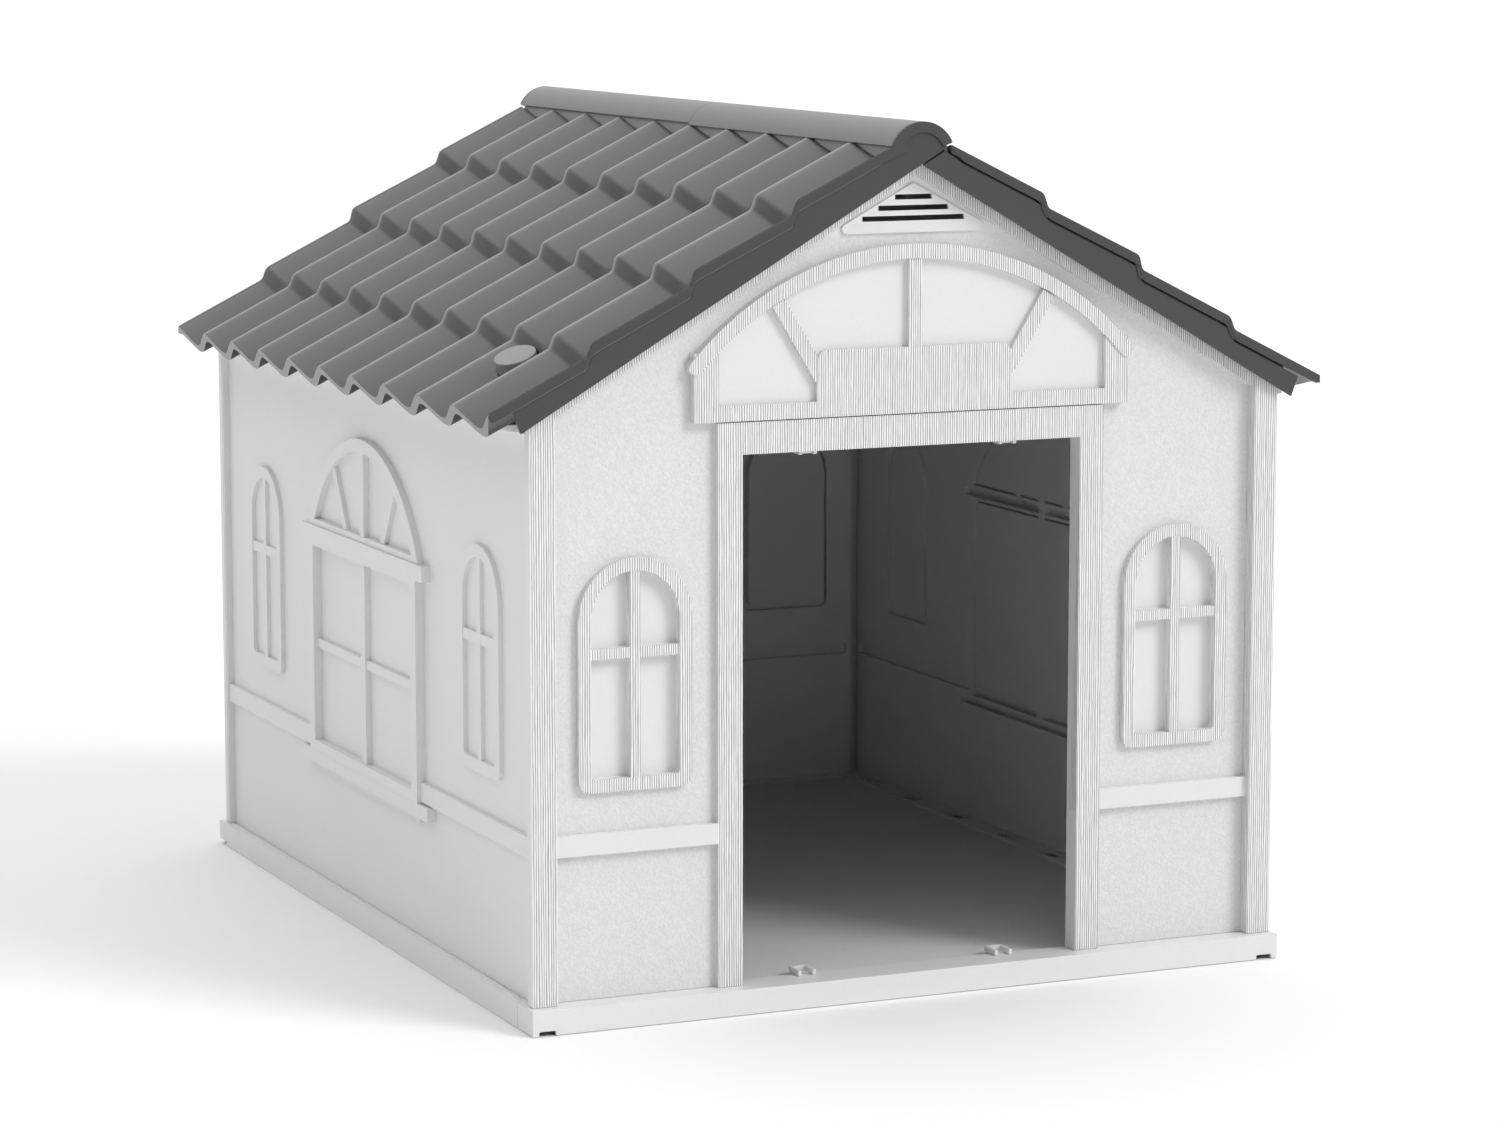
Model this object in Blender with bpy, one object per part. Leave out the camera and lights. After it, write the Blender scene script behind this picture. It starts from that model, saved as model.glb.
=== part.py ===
"""Plastic dog kennel shaped like a small house, as an assembly of moulded panels.

Front faces -Y, width runs along X, the base rests on z = 0. Lengths in the constants are millimetres.
"""

import math

import bmesh
import bpy
from mathutils import Matrix, Vector
from mathutils.geometry import tessellate_polygon

MM = 0.001
GAP = 0.3
SHELL = 3.0

# Base frame
BASE_HALF_X = 358.4
BASE_HALF_Y = 438.0
RAIL_TOP = 22.2
RAIL_WIDTH = 36.0
FLOOR_TOP = 19.3

# End walls, whose field is FIELD_Y from the middle, and side walls, whose field is FIELD_X from it
FIELD_Y = 416.4
FIELD_X = 347.9
WALL_BOTTOM = RAIL_TOP + GAP
POST_OUT = 12.0
POST_X = 354.4
POST_WIDTH = 22.4
RETURN_END = 419.6
GABLE_TOP = 729.0
GABLE_SLOPE = 0.602
RAIL_BAND = (147.7, 165.3)
DOOR_HALF = 160.3
DOOR_TOP = 479.1
CASING_HALF = 183.0
CASING_TOP = 506.5
CASING_OUT = 7.0
PANE_DEPTH = 4.5

# Roof
VERGE_Y = 437.2
SHEET = 5.5
WAVES = 10
WAVE_PITCH = 2 * VERGE_Y / WAVES
WAVE_DROP = 13.3
COURSES = ((27.0, 735.6), (115.6, 692.5), (120.0, 679.8), (209.2, 636.9),
           (212.3, 624.1), (300.7, 580.2), (305.3, 568.4), (392.7, 524.8))
ROLL_Z = 725.5
ROLL_RADIUS = 30.3
FASCIA_APEX = 719.7
FASCIA_SLOPE = 0.5835
FASCIA_END = 364.3
KNOB_CENTRE = (322.0, 312.0, 560.1)
KNOB_RADIUS = 18.5
KNOB_TILT = math.radians(20)
KNOB_LEAN = math.radians(11)
KNOB_SEAT = (Matrix.Translation((-KNOB_CENTRE[0], -KNOB_CENTRE[1], KNOB_CENTRE[2]))
             @ Matrix.Rotation(-KNOB_TILT, 4, "Y") @ Matrix.Rotation(KNOB_LEAN, 4, "X"))
POCKET_DEPTH = 12.0

WHITE = (0.80, 0.81, 0.81, 1.0)
GREY = (0.085, 0.088, 0.09, 1.0)


def clear_scene():
    for item in list(bpy.data.objects):
        bpy.data.objects.remove(item)


def material(name, colour, roughness):
    made = bpy.data.materials.new(name)
    made.use_nodes = True
    shader = made.node_tree.nodes["Principled BSDF"]
    shader.inputs["Base Color"].default_value = colour
    shader.inputs["Roughness"].default_value = roughness
    made.diffuse_color = colour
    return made


# --- flat outlines, as lists of (u, v) ---------------------------------------------------------

def rectangle(left, right, low, high):
    return [(left, low), (right, low), (right, high), (left, high)]


def arc(centre_u, centre_v, radius, start, end, steps, radius_v=None):
    tall = radius if radius_v is None else radius_v
    angles = [math.radians(start + (end - start) * i / steps) for i in range(steps + 1)]
    return [(centre_u + radius * math.cos(a), centre_v + tall * math.sin(a)) for a in angles]


def arched(left, right, low, spring, rise, corner, steps=12):
    """An arched window's outline, anticlockwise, with rounded lower corners."""
    middle = (left + right) / 2
    outline = arc(left + corner, low + corner, corner, 180, 270, 3)
    outline += arc(right - corner, low + corner, corner, 270, 360, 3)
    return outline + arc(middle, spring, (right - left) / 2, 0, 180, steps, rise)


def band(points, width):
    """A strip of even width along an open line of points."""
    left, right = [], []
    for i, point in enumerate(points):
        before = Vector(points[max(i - 1, 0)])
        after = Vector(points[min(i + 1, len(points) - 1)])
        along = (after - before).normalized()
        side = Vector((-along.y, along.x)) * width / 2
        left.append(tuple(Vector(point) + side))
        right.append(tuple(Vector(point) - side))
    return right + left[::-1]


def grown(outline, distance):
    """The outline of an anticlockwise polygon moved out by a distance, or in by a negative one."""
    count = len(outline)
    moved = []
    for i in range(count):
        here = Vector(outline[i])
        into = (here - Vector(outline[i - 1])).normalized()
        out = (Vector(outline[(i + 1) % count]) - here).normalized()
        first = Vector((into.y, -into.x))
        second = Vector((out.y, -out.x))
        reach = 1 + first.dot(second)
        moved.append(tuple(here + (first + second) * distance / max(reach, 0.3)))
    return moved


# --- solids ------------------------------------------------------------------------------------

def prism(outline, low, high, holes=()):
    """A block with this outline in its own u, v plane, from w = low to w = high."""
    loops = [outline] + [list(hole) for hole in holes]
    flat = [[Vector((u, v, 0)) for u, v in loop] for loop in loops]
    triangles = tessellate_polygon(flat)
    points = [point for loop in flat for point in loop]
    count = len(points)
    vertices = [(p.x, p.y, low) for p in points] + [(p.x, p.y, high) for p in points]
    faces = [tuple(corner + count for corner in face) for face in triangles]
    faces += [tuple(reversed(face)) for face in triangles]
    first = 0
    for loop in flat:
        size = len(loop)
        for i in range(size):
            a, b = first + i, first + (i + 1) % size
            faces.append((a, b, b + count, a + count))
        first += size
    return solid_object(vertices, faces)


def solid_object(vertices, faces):
    mesh = bpy.data.meshes.new("solid")
    mesh.from_pydata(vertices, [], faces)
    tidy = bmesh.new()
    tidy.from_mesh(mesh)
    bmesh.ops.recalc_face_normals(tidy, faces=tidy.faces)
    tidy.to_mesh(mesh)
    tidy.free()
    made = bpy.data.objects.new("solid", mesh)
    bpy.context.scene.collection.objects.link(made)
    return made


def cylinder(radius, low, high, steps=32):
    return prism(arc(0, 0, radius, 0, 360 - 360 / steps, steps - 1), low, high)


def cube(x, y, z):
    """A box from its (low, high) pair on each axis."""
    return prism(rectangle(x[0], x[1], y[0], y[1]), z[0], z[1])


def along_y(outline, low, high):
    """A block whose outline is given in x, z and that runs from y = low to y = high."""
    made = prism(outline, -high, -low)
    made.data.transform(Matrix.Rotation(math.radians(90), 4, "X"))
    return made


def moved(made, matrix):
    made.data.transform(matrix)
    return made


def shape(base, steps):
    """The base with each step's solid added to it or cut from it, in order. The helpers are removed."""
    for kind, tool in steps:
        boolean = base.modifiers.new(kind, "BOOLEAN")
        boolean.operation = "UNION" if kind == "add" else "DIFFERENCE"
        boolean.solver = "EXACT"
        boolean.object = tool
    graph = bpy.context.evaluated_depsgraph_get()
    mesh = bpy.data.meshes.new_from_object(base.evaluated_get(graph))
    base.modifiers.clear()
    base.data = mesh
    for _, tool in steps:
        bpy.data.objects.remove(tool)
    return base


def finish(made, name, look, collection, origin=(0.0, 0.0, 0.0), angle=30):
    """Names the solid, turns millimetres into metres, gives it its own material and sets its origin."""
    made.name = name
    made.data.name = name
    tidy = bmesh.new()
    tidy.from_mesh(made.data)
    bmesh.ops.remove_doubles(tidy, verts=tidy.verts, dist=0.002)
    bmesh.ops.dissolve_limit(tidy, angle_limit=0.0005, verts=tidy.verts, edges=tidy.edges)
    bmesh.ops.triangulate(tidy, faces=tidy.faces)
    tidy.to_mesh(made.data)
    tidy.free()
    made.data.transform(Matrix.Translation(-Vector(origin)))
    made.data.transform(Matrix.Scale(MM, 4))
    made.location = Vector(origin) * MM
    made.data.materials.clear()
    made.data.materials.append(material(name, *look))
    made.data.shade_smooth()
    made.data.set_sharp_from_angle(angle=math.radians(angle))
    bpy.context.scene.collection.objects.unlink(made)
    collection.objects.link(made)
    return made


def wall_frame(turn, distance):
    """Places a wall drawn as u across, v up and w outward, facing -Y before the turn about Z."""
    front = Matrix(((1, 0, 0, 0), (0, 0, -1, -distance), (0, 1, 0, 0), (0, 0, 0, 1)))
    return Matrix.Rotation(math.radians(turn), 4, "Z") @ front


HALF_TURN = Matrix.Rotation(math.pi, 4, "Z")


# --- relief that the walls share ---------------------------------------------------------------

def boss(outline, height):
    """A raised area with the wall's own thickness: solid outside and hollow from the inside."""
    return [("add", prism(outline, -SHELL + 0.01, height)),
            ("cut", prism(grown(outline, -SHELL), -SHELL - 2, height - SHELL))]


def frame_ring(outer, inner, height):
    ring = prism(outer, -SHELL + 0.01, height, [inner])
    groove = prism(grown(outer, -SHELL), -SHELL - 2, height - SHELL, [grown(inner, SHELL)])
    return [("add", ring), ("cut", groove)]


def window(left, right, low, spring, rise, height, depth, bar, crossbar):
    """An arched window: frame, panes set back by depth, a mullion and a crossbar."""
    width = 11.0
    outer = arched(left, right, low, spring, rise, 9.0)
    inner = arched(left + width, right - width, low + width, spring, rise - width, 4.0)
    middle = (left + right) / 2
    steps = frame_ring(outer, inner, height)
    back = -depth - SHELL
    if depth > 0:
        steps.append(("add", prism(grown(inner, SHELL), back, -0.02)))
        steps.append(("cut", prism(inner, -depth, height + 1)))
    upright = rectangle(middle - bar / 2, middle + bar / 2, low + width - 1, spring + rise - width + 1)
    across = rectangle(left + width - 1, right - width + 1, crossbar[0], crossbar[1])
    steps.append(("add", prism(upright, back + 0.5, height - 0.6)))
    steps.append(("add", prism(across, back + 0.6, height - 0.8)))
    return steps


def gable_outline(half_width, bottom):
    edge = GABLE_TOP - GABLE_SLOPE * half_width
    return [(-half_width, bottom), (half_width, bottom), (half_width, edge),
            (3, GABLE_TOP - 1.8), (-3, GABLE_TOP - 1.8), (-half_width, edge)]


def gable_at(u):
    return GABLE_TOP - GABLE_SLOPE * u - 1.0


def mirrored(outline, side):
    """The outline as drawn for side = 1, or its mirror image, still anticlockwise, for side = -1."""
    return outline if side > 0 else [(-u, v) for u, v in reversed(outline)]


def pediment():
    """The arched fanlight over the doorway: blocks, rail, plaque, arch and mullions on glazed panes."""
    face, pane = 8.5, 3.0
    outer_arc = arc(0, 374.0, 278.3, 41.5, 138.5, 24)
    inner_arc = arc(0, 374.0, 265.9, 41.5, 138.5, 24)
    glass = [(-186, 519), (186, 519)] + arc(0, 374.0, 268.0, 46, 134, 20)
    steps = [("add", prism(glass, -SHELL + 0.01, pane)),
             ("cut", prism(grown(glass, -SHELL), -SHELL - 2, pane - SHELL))]
    for side in (-1, 1):
        block = rectangle(*sorted((side * 183.0, side * 205.5)), 507.5, 566.0)
        steps.append(("add", prism(block, -SHELL + 0.02, face)))
        slant = band([(side * 88.0, 541.0), (side * 128.0, 606.0)], 12.5)
        steps.append(("add", prism(slant, -SHELL + 0.3, face - 0.3)))
    steps.append(("add", prism(rectangle(-200, 200, 507.5, 521.0), -SHELL + 0.03, face - 0.1)))
    plaque = [(-92, 509), (92, 509)] + arc(82, 554.4, 10, 0, 90, 4) + arc(-82, 554.4, 10, 90, 180, 4)
    steps.append(("add", prism(plaque, -SHELL + 0.04, face + 0.1)))
    steps.append(("cut", prism(grown(plaque, -SHELL), -SHELL - 2, face - SHELL)))
    steps.append(("add", prism(rectangle(-6.5, 6.5, 560, 642), -SHELL + 0.4, face - 0.2)))
    steps.append(("add", prism(outer_arc + inner_arc[::-1], -SHELL + 0.5, face + 1.5)))
    for side in (-1, 1):
        end = arc(side * 203.8, 554.3, 6.25, 0, 337.5, 15)
        steps.append(("add", prism(end, -SHELL + 0.6, face + 1.4)))
    return steps


def end_wall_steps():
    """What the front and rear walls share, as steps on the gable-shaped field."""
    steps = []
    inside = POST_X - POST_WIDTH
    for side in (-1, 1):
        post = mirrored([(inside, WALL_BOTTOM), (POST_X, WALL_BOTTOM), (POST_X, gable_at(POST_X)),
                         (inside, gable_at(inside))], side)
        cheek = mirrored([(inside, WALL_BOTTOM), (inside + SHELL, WALL_BOTTOM),
                          (inside + SHELL, gable_at(inside + SHELL)), (inside, gable_at(inside))], side)
        hollow = rectangle(*sorted((side * (inside + SHELL), side * (POST_X - SHELL))), 0, 600)
        steps.append(("add", prism(post, RETURN_END - FIELD_Y, POST_OUT)))
        steps.append(("add", prism(cheek, -SHELL, POST_OUT - 0.5)))
        steps.append(("cut", prism(hollow, -20, POST_OUT - SHELL)))
        trim = mirrored([(0, FASCIA_APEX - 9), (336, FASCIA_APEX - FASCIA_SLOPE * 336 - 9),
                         (336, gable_at(336)), (0, gable_at(3) - 1)], side)
        steps.append(("add", prism(trim, -SHELL + 0.2, 9.0)))
        steps += window(*sorted((side * 206.6, side * 309.3)), 200.2, 346.5, 51.3, 6.0, PANE_DEPTH,
                        9.0, (313.0, 322.0))
    steps += pediment()
    vent = [(-60, 664.3), (60, 664.3), (50, 675.7), (33, 685), (17, 694), (0, 701),
            (-17, 694), (-33, 685), (-50, 675.7)]
    steps.append(("cut", prism(vent, -20, 20)))
    return steps


# --- sub-parts ---------------------------------------------------------------------------------

def make_base(collection, look):
    """Front and rear sills, side rails and the two halves of the floor, hollow from below."""
    seam = BASE_HALF_Y - RAIL_WIDTH

    def channel(x, y, notches=()):
        steps = [("cut", cube((x[0] + 4, x[1] - 4), (y[0] + 4, y[1] - 4), (-1, RAIL_TOP - 4)))]
        steps += [("cut", cube(nx, ny, nz)) for nx, ny, nz in notches]
        return shape(cube(x, y, (0, RAIL_TOP)), steps)

    corners = [((side * BASE_HALF_X - side * 6, side * BASE_HALF_X - side * 21)) for side in (-1, 1)]
    notches = [(sorted(pair), (-BASE_HALF_Y - 1, -BASE_HALF_Y + 5), (-1, 4)) for pair in corners]
    front = channel((-BASE_HALF_X, BASE_HALF_X), (-BASE_HALF_Y, -seam - GAP / 2), notches)
    finish(front, "front_sill", look, collection)
    inner = BASE_HALF_X - RAIL_WIDTH
    rear = channel((-inner + GAP, inner - GAP), (seam + GAP, BASE_HALF_Y))
    finish(rear, "rear_sill", look, collection)
    for name, side in (("side_rail_left", -1), ("side_rail_right", 1)):
        x = sorted((side * BASE_HALF_X, side * inner))
        notch = (sorted((side * (BASE_HALF_X + 1), side * (BASE_HALF_X - 5))),
                 (BASE_HALF_Y - 22, BASE_HALF_Y + 1), (-1, 4))
        rail = channel(x, (-seam + GAP / 2, BASE_HALF_Y), [notch])
        rib = cube(sorted((side * 352.2, side * 353.4)), (-seam + 4, BASE_HALF_Y - 24),
                   (RAIL_TOP - 1, RAIL_TOP + 0.8))
        pockets = []
        for i in range(8):
            y = -364 + i * 104
            hollow = cube(sorted((side * 342, side * 328)), (y - 15, y + 15), (RAIL_TOP - 6, 30))
            bottom = cube(sorted((side * 344, side * 326)), (y - 17, y + 17), (RAIL_TOP - 9, RAIL_TOP - 5.5))
            pockets += [("cut", hollow), ("add", bottom)]
        finish(shape(rail, [("add", rib)] + pockets), name, look, collection)
    for name, y in (("floor_front", (-seam + GAP / 2, -GAP / 2)), ("floor_rear", (GAP / 2, seam - GAP / 2))):
        half = inner - GAP
        tray = cube((-half, half), y, (0, FLOOR_TOP))
        pockets = []
        for i in range(3):
            low = -half + 4 + i * (2 * half - 8) / 3
            pockets.append(("cut", cube((low + 2, low + (2 * half - 8) / 3 - 2), (y[0] + 4, y[1] - 4),
                                        (-1, FLOOR_TOP - 3.5))))
        finish(shape(tray, pockets), name, look, collection)


def make_end_walls(collection, look):
    field = POST_X - POST_WIDTH + SHELL - 0.5
    rail_low, rail_high = RAIL_BAND
    front = prism(gable_outline(field, WALL_BOTTOM), -SHELL, 0)
    steps = end_wall_steps()
    casing = [(-CASING_HALF, WALL_BOTTOM), (CASING_HALF, WALL_BOTTOM), (CASING_HALF, CASING_TOP),
              (-CASING_HALF, CASING_TOP)]
    steps.append(("add", prism(casing, -SHELL + 0.6, CASING_OUT)))
    behind = rectangle(-CASING_HALF + SHELL, CASING_HALF - SHELL, 0, CASING_TOP - SHELL)
    steps.append(("cut", prism(behind, -20, CASING_OUT - SHELL)))
    liner = rectangle(-DOOR_HALF - SHELL, DOOR_HALF + SHELL, WALL_BOTTOM, DOOR_TOP + SHELL)
    steps.append(("add", prism(liner, -SHELL - 8, CASING_OUT - 1)))
    steps.append(("cut", prism(rectangle(-DOOR_HALF, DOOR_HALF, 0, DOOR_TOP), -40, 40)))
    for side in (-1, 1):
        ends = sorted((side * (CASING_HALF - 1), side * (POST_X - POST_WIDTH + 1)))
        rail = rectangle(*ends, rail_low, rail_high)
        steps += boss(rail, 7.0)
    front = shape(front, steps)
    finish(moved(front, wall_frame(0, FIELD_Y)), "front_wall", look, collection)

    rear = prism(gable_outline(field, WALL_BOTTOM), -SHELL, 0)
    steps = end_wall_steps()
    edge = POST_X - POST_WIDTH + 1
    steps += boss(rectangle(-edge, edge, rail_low, rail_high), 7.0)
    rear = shape(rear, steps)
    finish(moved(rear, wall_frame(180, FIELD_Y)), "rear_wall", look, collection)


def side_wall():
    """One side wall, drawn as u across, v up and w outward."""
    end = RETURN_END - GAP
    rail_low, rail_high = RAIL_BAND
    base = prism(rectangle(-end, end, WALL_BOTTOM, 511.5), -SHELL, 0)
    steps = []
    flare = [(-SHELL, 499.0), (0.0, 499.0), (3.0, 503.5), (9.0, 506.5), (20.1, 507.5), (20.1, 512.5),
             (-SHELL, 512.5)]
    lip = prism(flare, -RETURN_END + 6, RETURN_END - 6)
    steps.append(("add", moved(lip, Matrix.Rotation(math.radians(-90), 4, "Y"))))
    for side in (-1, 1):
        flange = rectangle(*sorted((side * (end - SHELL), side * end)), WALL_BOTTOM, 500.0)
        steps.append(("add", prism(flange, -SHELL + 0.01, 6.2)))
        steps += boss(rectangle(*sorted((side * 148, side * (end - 2))), rail_low, rail_high), 4.5)
        steps += window(*sorted((side * 248.0, side * 346.0)), 200.0, 349.0, 49.0, 4.0, 0.0, 8.0, (311.5, 321.0))
    arch = arc(0, 287.2, 169, 24.5, 155.5, 24)
    inside = arc(0, 287.2, 157, 30.5, 149.5, 24)
    steps += frame_ring(arch, inside, 6.0)
    jambs = rectangle(-150, 150, 144, 352)
    opening = rectangle(-135, 135, 156, 342)
    steps += frame_ring(jambs, opening, 8.2)
    steps += boss(rectangle(-168, 168, 347, 361.2), 8.4)
    steps += boss(rectangle(-176.5, 176.5, 134, 146), 8.4)
    steps.append(("add", prism(rectangle(-149, 149, 128.5, 136), -SHELL + 0.01, 5.0)))
    steps.append(("add", prism(rectangle(-5.5, 5.5, 144, 446), -SHELL + 0.3, 5.5)))
    steps.append(("add", prism(rectangle(-140, 140, 244.5, 253), -SHELL + 0.4, 4.0)))
    for side in (-1, 1):
        steps.append(("add", prism(band([(side * 45, 356), (side * 86, 425)], 9.0), -SHELL + 0.5, 4.0)))
    return shape(base, steps)


def make_side_walls(collection, look):
    for name, turn in (("left_wall", -90), ("right_wall", 90)):
        finish(moved(side_wall(), wall_frame(turn, FIELD_X)), name, look, collection)


def make_vents(collection, look):
    """Louvred triangular inserts in front of the gable openings."""
    for name, turn in (("vent_front", 0), ("vent_rear", 180)):
        outline = arc(-62, 665.6, 4.6, 150, 270, 4) + arc(62, 665.6, 4.6, 270, 390, 4)
        outline += arc(0, 700.5, 3, 55, 125, 2)
        steps = []
        for z, half in ((691.5, 17.0), (682.3, 32.0), (673.5, 46.0)):
            steps.append(("cut", prism(rectangle(-half, half, z - 2.2, z + 2.2), -5, 10)))
        plate = shape(prism(outline, GAP, 2.8), steps)
        finish(moved(plate, wall_frame(turn, FIELD_Y)), name, look, collection)


def wave(y):
    """How far the tile surface lies below its crest at this y, for the left panel."""
    phase = ((VERGE_Y - y) / WAVE_PITCH) % 1.0
    if phase < 0.77:
        return WAVE_DROP * (0.5 - 0.5 * math.cos(math.pi * phase / 0.77))
    return WAVE_DROP * (0.5 + 0.5 * math.cos(math.pi * (phase - 0.77) / 0.23))


def tiled_sheet():
    """The left panel's tiled skin as one closed loft of top and bottom grids."""
    phases = (0.0, 0.2, 0.4, 0.6, 0.77, 0.885)
    rows = sorted({round(VERGE_Y - (i + p) * WAVE_PITCH, 4) for i in range(WAVES) for p in phases} | {-VERGE_Y})
    first = (25.5, COURSES[0][1] + 0.75)
    top = [first] + list(COURSES[1:])
    bottom = [(first[0], first[1] - SHEET)]
    bottom += [(s - (4.0 if i % 2 == 0 else 3.0), z - SHEET) for i, (s, z) in enumerate(COURSES[1:-1])]
    bottom += [(COURSES[-1][0] - 2.0, COURSES[-1][1] - SHEET - 1)]
    across = len(top)
    vertices = [(-s, y, z - wave(y)) for y in rows for s, z in top]
    vertices += [(-s, y, z - wave(y)) for y in rows for s, z in bottom]
    low = len(rows) * across
    faces = []
    for i in range(len(rows) - 1):
        for j in range(across - 1):
            a, b = i * across + j, i * across + j + 1
            c, d = b + across, a + across
            faces += [(a, b, c, d), (low + d, low + c, low + b, low + a)]
    for i in range(len(rows) - 1):
        for j in (0, across - 1):
            a, d = i * across + j, (i + 1) * across + j
            faces.append((a, d, low + d, low + a))
    for j in range(across - 1):
        for i in (0, len(rows) - 1):
            a, b = i * across + j, i * across + j + 1
            faces.append((a, b, low + b, low + a))
    return solid_object(vertices, faces)


def roof_panel():
    """The left roof moulding: tiles, the front half of the ridge roll, an under-lip, and two fascias."""
    fall = [(-s, z - 2.5) for s, z in COURSES]
    lower = FASCIA_APEX - FASCIA_SLOPE * FASCIA_END
    eave = [(-372.7, 525.7), (-FASCIA_END, lower)]
    inner_end = (25.0, FASCIA_APEX + FASCIA_SLOPE * 25.0)
    front = [inner_end, (0, ROLL_Z + 8)] + fall[:-1] + eave
    rear_cut = (-27.5, FASCIA_APEX + FASCIA_SLOPE * 27.5 - 3.0)
    rear = [(-1.0, FASCIA_APEX - FASCIA_SLOPE * 1.0), rear_cut, (-33.0, 728.0)] + fall[1:-1] + eave
    steps = [("add", along_y(front, -VERGE_Y + 1.0, -VERGE_Y + 4.0)),
             ("add", along_y(rear, VERGE_Y - 4.0, VERGE_Y - 1.0))]
    outer = arc(0, ROLL_Z, ROLL_RADIUS, 26, 198, 24)
    inner = arc(0, ROLL_Z, ROLL_RADIUS - SHELL, 26, 198, 24)
    steps.append(("add", along_y(outer + inner[::-1], -VERGE_Y + 1.5, -GAP)))
    cap = arc(0, ROLL_Z, ROLL_RADIUS - 0.1, 27, 199, 24)
    steps.append(("add", along_y(cap, -VERGE_Y + 1.8, -VERGE_Y + 4.8)))
    rim = arc(0, ROLL_Z, ROLL_RADIUS, 26, 198, 24) + arc(0, ROLL_Z, 21.0, 28, 196, 24)[::-1]
    steps.append(("add", along_y(rim, -VERGE_Y, -VERGE_Y + 3.0)))
    lip = arc(0, ROLL_Z, 26.4, 115, 198, 12) + arc(0, ROLL_Z, 23.4, 115, 198, 12)[::-1]
    steps.append(("add", along_y(lip, -6.0, VERGE_Y - 5.6)))
    seat = KNOB_SEAT
    steps.append(("add", moved(cylinder(KNOB_RADIUS + 4, -POCKET_DEPTH - 7, -POCKET_DEPTH + 2), seat)))
    steps.append(("cut", moved(cylinder(KNOB_RADIUS + 1.2, -POCKET_DEPTH, 22), seat)))
    steps.append(("cut", moved(cylinder(6.0, -40, 22, 20), seat)))
    return shape(tiled_sheet(), steps)


def make_roof(collection, look):
    for name, spin in (("roof_left", Matrix.Identity(4)), ("roof_right", HALF_TURN)):
        finish(moved(roof_panel(), spin), name, look, collection, angle=40)


def make_locks(collection, look):
    """Turning knobs on the roof, each with a plain stem and a retaining washer below the panel."""
    for side, spin in (("left", Matrix.Identity(4)), ("right", HALF_TURN)):
        seat = spin @ KNOB_SEAT
        centre = seat @ Vector((0, 0, 0))
        knob = cylinder(KNOB_RADIUS, -POCKET_DEPTH + GAP, -1.0, 40)
        steps = [("add", cylinder(KNOB_RADIUS - 1.0, -2, 0, 40)),
                 ("add", cylinder(5.6, -POCKET_DEPTH - 12, -POCKET_DEPTH + 1, 20))]
        knob = shape(knob, steps)
        finish(moved(knob, seat), "lock_knob_" + side, look, collection, origin=centre)
        washer = shape(cylinder(12.0, -POCKET_DEPTH - 10.4, -POCKET_DEPTH - 7.4, 28),
                       [("cut", cylinder(5.9, -60, 0, 20))])
        finish(moved(washer, seat), "lock_washer_" + side, look, collection, origin=centre)


def make_clips(collection, look):
    """Staple-shaped door-flap clips, open towards the front: two on the sill and two under the head."""
    for place, low, high, rear in (("sill", RAIL_TOP + GAP, RAIL_TOP + 5.0, -392.0),
                                   ("header", DOOR_TOP - 4.0, DOOR_TOP - GAP, -402.0)):
        for side, x in (("left", -95.0), ("right", 95.0)):
            staple = cube((x - 8.5, x + 8.5), (-413.0, rear), (low, high))
            mouth = cube((x - 5.2, x + 5.2), (-420.0, rear - 4.0), (low - 4, high + 4))
            finish(shape(staple, [("cut", mouth)]), place + "_clip_" + side, look, collection)


def main():
    clear_scene()
    collection = bpy.data.collections.new("plastic_kennel")
    bpy.context.scene.collection.children.link(collection)
    white = (WHITE, 0.5)
    grey = (GREY, 0.4)
    make_base(collection, white)
    make_end_walls(collection, white)
    make_side_walls(collection, white)
    make_vents(collection, white)
    make_roof(collection, grey)
    make_locks(collection, grey)
    make_clips(collection, white)


main()
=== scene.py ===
"""Looks of a moulded plastic dog kennel shaped like a small house.

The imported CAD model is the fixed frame. Walls, base and clips are softened copies of their CAD solids, while
the roof mouldings, ridge roll, fascias, vents and lock knobs are modelled here at full detail. Lengths are in
metres.
"""

import logging
import math
from dataclasses import dataclass, field
from enum import Enum, IntEnum
from typing import Callable, Iterable, Sequence

import bpy
from mathutils import Matrix, Vector


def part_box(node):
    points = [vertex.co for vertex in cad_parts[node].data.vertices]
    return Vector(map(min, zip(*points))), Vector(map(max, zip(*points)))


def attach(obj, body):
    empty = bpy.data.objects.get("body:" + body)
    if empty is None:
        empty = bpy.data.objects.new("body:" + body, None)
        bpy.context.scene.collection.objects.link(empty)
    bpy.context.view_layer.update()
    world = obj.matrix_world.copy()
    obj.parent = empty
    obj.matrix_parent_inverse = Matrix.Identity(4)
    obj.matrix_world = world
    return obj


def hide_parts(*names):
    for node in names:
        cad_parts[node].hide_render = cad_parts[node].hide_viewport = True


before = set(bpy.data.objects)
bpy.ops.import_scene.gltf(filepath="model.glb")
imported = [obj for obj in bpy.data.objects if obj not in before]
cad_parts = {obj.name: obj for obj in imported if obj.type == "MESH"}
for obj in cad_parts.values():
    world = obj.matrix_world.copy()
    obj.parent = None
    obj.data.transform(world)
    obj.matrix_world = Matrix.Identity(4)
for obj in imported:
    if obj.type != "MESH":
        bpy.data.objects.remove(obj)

log = logging.getLogger("kennel")
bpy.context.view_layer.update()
MM = 0.001
HALF_TURN = math.pi
WELD = 0.005 * MM
SPLIT_REACH = 0.01 * MM
FLAT_ANGLE = math.radians(0.5)
EDGE_ANGLE = math.radians(35.0)

Point = tuple[float, float]
Profile = Sequence[Point]
Setting = float | tuple[float, ...] | bpy.types.NodeSocket


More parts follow.
